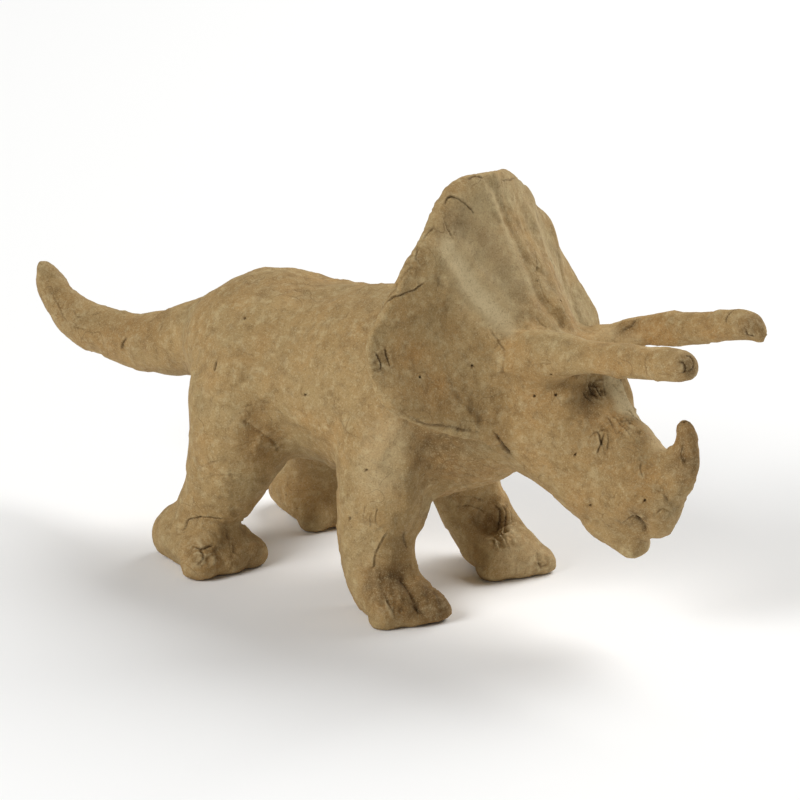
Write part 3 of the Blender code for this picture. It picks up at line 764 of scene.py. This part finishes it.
# Pale kraft carries paler stains, painted highlights and painted light; dark kraft carries browner stains
# and painted shade.
KRAFT_PALE = "#D0BC92"
KRAFT_SOAKED = "#8C6E42"
KRAFT_DARK = "#4A3418"
# Dark fibres, and painted shade along the hair creases.
FIBRE_DARK_AND_CREASE_SHADE = "#6A5130"
FIBRE_LIGHT = "#CFBD92"
CLOUD = 13.0
BLOTCH = 5.5
MOTTLE = 2.6
GRAIN = 0.42
SPECK = 0.75
HAIR_WIDTH = 0.006
HAIR_SHARE = 0.36

paper = bpy.data.materials.new("kraft_paper_pasted")
paper.use_nodes = True
tree = paper.node_tree
shader = tree.nodes["Principled BSDF"]


def node(kind, inputs=None, **settings):
    """Adds a node, sets its settings, and fills each named or numbered input: a socket is
    linked, and anything else is its value."""
    made = tree.nodes.new(kind)
    for name, value in settings.items():
        setattr(made, name, value)
    for name, value in (inputs or {}).items():
        if isinstance(value, bpy.types.NodeSocket):
            tree.links.new(value, made.inputs[name])
        else:
            made.inputs[name].default_value = value
    return made


def mixed(share, first, second):
    """A colour between two colours, by a share of the second."""
    return node("ShaderNodeMix", {0: share, 6: first, 7: second}, data_type="RGBA").outputs[2]


place = node("ShaderNodeTexCoord").outputs["Object"]


def noise(size, detail=3.0, roughness=0.55):
    """Noise whose features are a given number of millimetres across."""
    return node(
        "ShaderNodeTexNoise",
        {"Vector": place, "Scale": 1 / (size * MM), "Detail": detail, "Roughness": roughness},
    ).outputs["Fac"]


def moved(value, low_edge, high_edge, low_out=0.0, high_out=1.0):
    """A value moved from one range to another, and held inside it."""
    return node(
        "ShaderNodeMapRange", {0: value, 1: low_edge, 2: high_edge, 3: low_out, 4: high_out}
    ).outputs[0]


def kept(name):
    """A number that the mesh keeps for each of its points."""
    return node("ShaderNodeAttribute", attribute_name=name).outputs["Fac"]


# Each layer of colour shows where noise is high. It gives the colour, the noise's size, detail
# and roughness, the values between which the layer comes in, and its share where it is full.
UNDER_STAINS_AND_SHADE = [
    (KRAFT, CLOUD * 1.7, 3.0, 0.55, 0.35, 0.65, 0.35),
    (KRAFT_SOAKED, BLOTCH, 3.0, 0.55, 0.46, 0.72, 0.45),
    (FIBRE_LIGHT, MOTTLE, 4.0, 0.6, 0.5, 0.75, 0.5),
    (FIBRE_DARK_AND_CREASE_SHADE, MOTTLE * 1.3, 4.0, 0.6, 0.5, 0.75, 0.5),
]
OVER_STAINS_AND_SHADE = [
    (FIBRE_DARK_AND_CREASE_SHADE, SPECK, 2.0, 0.7, 0.56, 0.78, 0.55),
    (FIBRE_LIGHT, SPECK * 0.9, 2.0, 0.7, 0.56, 0.78, 0.5),
    (FIBRE_DARK_AND_CREASE_SHADE, GRAIN, 1.0, 0.5, 0.5, 0.75, 0.28),
    (FIBRE_LIGHT, GRAIN * 0.9, 1.0, 0.5, 0.5, 0.75, 0.24),
]


def with_layer(under, code, size, detail, roughness, low_edge, high_edge, most):
    """A colour with one layer over it."""
    share = moved(noise(size, detail, roughness), low_edge, high_edge, 0.0, most)
    return mixed(share, under, srgb(code))


redness = node(
    "ShaderNodeMath",
    {0: kept("tint"), 1: moved(noise(CLOUD, 2.0), 0.3, 0.7, -0.25, 0.25)},
    operation="ADD",
    use_clamp=True,
).outputs[0]
colour = mixed(redness, srgb(KRAFT_GREENER), srgb(KRAFT_REDDER))
for layer in UNDER_STAINS_AND_SHADE:
    colour = with_layer(colour, *layer)
# Paler stains, with painted highlights on crease lips, crumple tops and the brow, and painted light on
# the frill, the bridge and the left front foot.
colour = mixed(kept("pale"), colour, srgb(KRAFT_PALE))
# Browner stains, with painted shade in creases, wrinkles, crumples and pits, along scrap edges, under the
# frill and on sides turned from the lights.
colour = mixed(kept("dark"), colour, srgb(KRAFT_DARK))
for layer in OVER_STAINS_AND_SHADE:
    colour = with_layer(colour, *layer)


def hairlines(size, seen_over):
    """1 on hair-thin lines, 0 between them: they run where noise of the given size crosses
    its middle value, and only where a second noise is high, so that each one is short."""
    off_middle = node(
        "ShaderNodeMath", {0: noise(size, 0.6, 0.5), 1: 0.5, 2: HAIR_WIDTH}, operation="COMPARE"
    ).outputs[0]
    seen = moved(noise(size * 1.3, 1.0), seen_over, seen_over + 0.06)
    return node("ShaderNodeMath", {0: off_middle, 1: seen}, operation="MULTIPLY").outputs[0]


hairs = node(
    "ShaderNodeMath", {0: hairlines(11.0, 0.56), 1: hairlines(7.0, 0.58)}, operation="MAXIMUM"
).outputs[0]
hair_share = node("ShaderNodeMath", {0: hairs, 1: HAIR_SHARE}, operation="MULTIPLY").outputs[0]
# Painted shade along the hair creases, which the relief below also sinks.
colour = mixed(hair_share, colour, srgb(FIBRE_DARK_AND_CREASE_SHADE))
tree.links.new(colour, shader.inputs["Base Color"])
PATCH = 6.0
LEAST_ROUGH, MOST_ROUGH = 0.72, 0.92
roughness = moved(noise(PATCH, 4.0), 0.3, 0.7, LEAST_ROUGH, MOST_ROUGH)
tree.links.new(roughness, shader.inputs["Roughness"])
shader.inputs["Metallic"].default_value = 0.0
shader.inputs["IOR"].default_value = 1.45
shader.inputs["Specular IOR Level"].default_value = 0.25

# Relief too fine for the mesh: soft ripples of the dried sheet, its hair creases and grain.
RIPPLE, RIPPLE_HEIGHT = 2.2, 0.45
HAIR_DEPTH = 0.12
GRAIN_HEIGHT = 0.12


def bump(value, strength, height, under=None, sunk=False):
    """Relief where a value goes from 0 to 1, raised or sunk by a height in millimetres and
    laid over other relief."""
    inputs = {"Height": value, "Strength": strength, "Distance": height * MM}
    if under is not None:
        inputs["Normal"] = under
    return node("ShaderNodeBump", inputs, invert=sunk).outputs[0]


ripples = bump(noise(RIPPLE, 3.0, 0.6), 0.6, RIPPLE_HEIGHT)
folds = bump(hairs, 0.6, HAIR_DEPTH, under=ripples, sunk=True)
grain = bump(noise(GRAIN * 1.5, 3.0, 0.7), 0.25, GRAIN_HEIGHT, under=folds)
tree.links.new(grain, shader.inputs["Normal"])

skin_mesh.materials.clear()
skin_mesh.materials.append(paper)
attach(skin, "root")
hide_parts(NODE)


# The floor and the light
# A pale sweep of card stands for the photograph's blank ground. The stronger of two broad
# soft lights hangs high behind the figure's head, the other stands left of the camera, and
# the card throws their light back up from below.
FLOOR_SIDE_M = 6.0
FLOOR_BELOW_SOLES_M = 0.0002
floor_form = bmesh.new()
bmesh.ops.create_grid(floor_form, x_segments=1, y_segments=1, size=FLOOR_SIDE_M / 2)
floor_mesh = bpy.data.meshes.new("floor")
floor_form.to_mesh(floor_mesh)
floor_form.free()
floor = bpy.data.objects.new("floor", floor_mesh)
floor.location.z = -FLOOR_BELOW_SOLES_M
bpy.context.scene.collection.objects.link(floor)
card = bpy.data.materials.new("white_card")
card.use_nodes = True
card_shader = card.node_tree.nodes["Principled BSDF"]
card_shader.inputs["Base Color"].default_value = srgb("#F7F7F6")
card_shader.inputs["Roughness"].default_value = 0.9
card_shader.inputs["Specular IOR Level"].default_value = 0.1
floor_mesh.materials.append(card)


def softbox(name, from_direction, distance, side, power):
    """A square light that shines on the figure from a direction given in right, up, back. Its
    distance and side are in metres and its power in watts."""
    lamp = bpy.data.lights.new(name, "AREA")
    lamp.shape = "SQUARE"
    lamp.size = side
    lamp.energy = power
    holder = bpy.data.objects.new(name, lamp)
    toward = RIGHT * from_direction[0] + UP * from_direction[1] + BACK * from_direction[2]
    toward /= np.linalg.norm(toward)
    holder.location = Vector(TARGET * MM + toward * distance)
    holder.rotation_mode = "QUATERNION"
    holder.rotation_quaternion = Vector(toward).to_track_quat("Z", "Y")
    bpy.context.scene.collection.objects.link(holder)


softbox("high light behind the right", (0.58, 0.79, -0.17), 2.4, 1.8, 58.0)
softbox("light on the left", (-0.66, 0.36, 0.66), 2.4, 1.1, 37.0)

SKY_STRENGTH = 0.17
room = bpy.data.worlds.new("room")
room.use_nodes = True
room.node_tree.nodes["Background"].inputs["Color"].default_value = (1.0, 1.0, 1.0, 1.0)
room.node_tree.nodes["Background"].inputs["Strength"].default_value = SKY_STRENGTH
bpy.context.scene.world = room
bpy.context.scene.view_settings.view_transform = "Standard"
